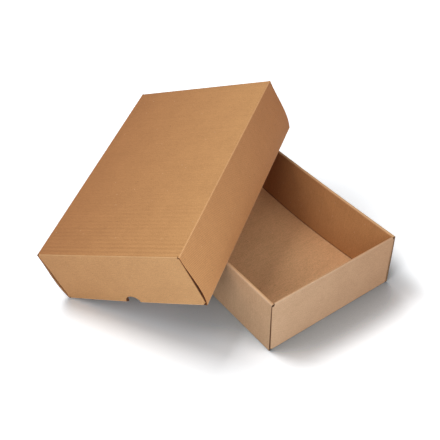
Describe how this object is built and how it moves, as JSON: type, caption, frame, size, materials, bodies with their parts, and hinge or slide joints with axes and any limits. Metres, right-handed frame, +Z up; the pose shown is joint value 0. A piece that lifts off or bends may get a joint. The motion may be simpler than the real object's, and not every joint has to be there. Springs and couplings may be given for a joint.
{
  "type": "open cardboard box with its lid",
  "caption": "Telescoping box of corrugated board with rolled double walls: an open base tray, and a lid with a thumb notch that leans on its rims.",
  "frame": {"origin": "centre of the base tray's underside, on the ground", "axes": "+X across the base tray's width, +Y along its length towards the end that the lid lies on, +Z up"},
  "size_m": [0.612, 0.6495, 0.3092],
  "materials": {
    "base_board": "matt",
    "lid_board": "matt"
  },
  "bodies": {
    "root": {"base_tray": "base_board", "lid": "lid_board"}
  },
  "joints": []
}
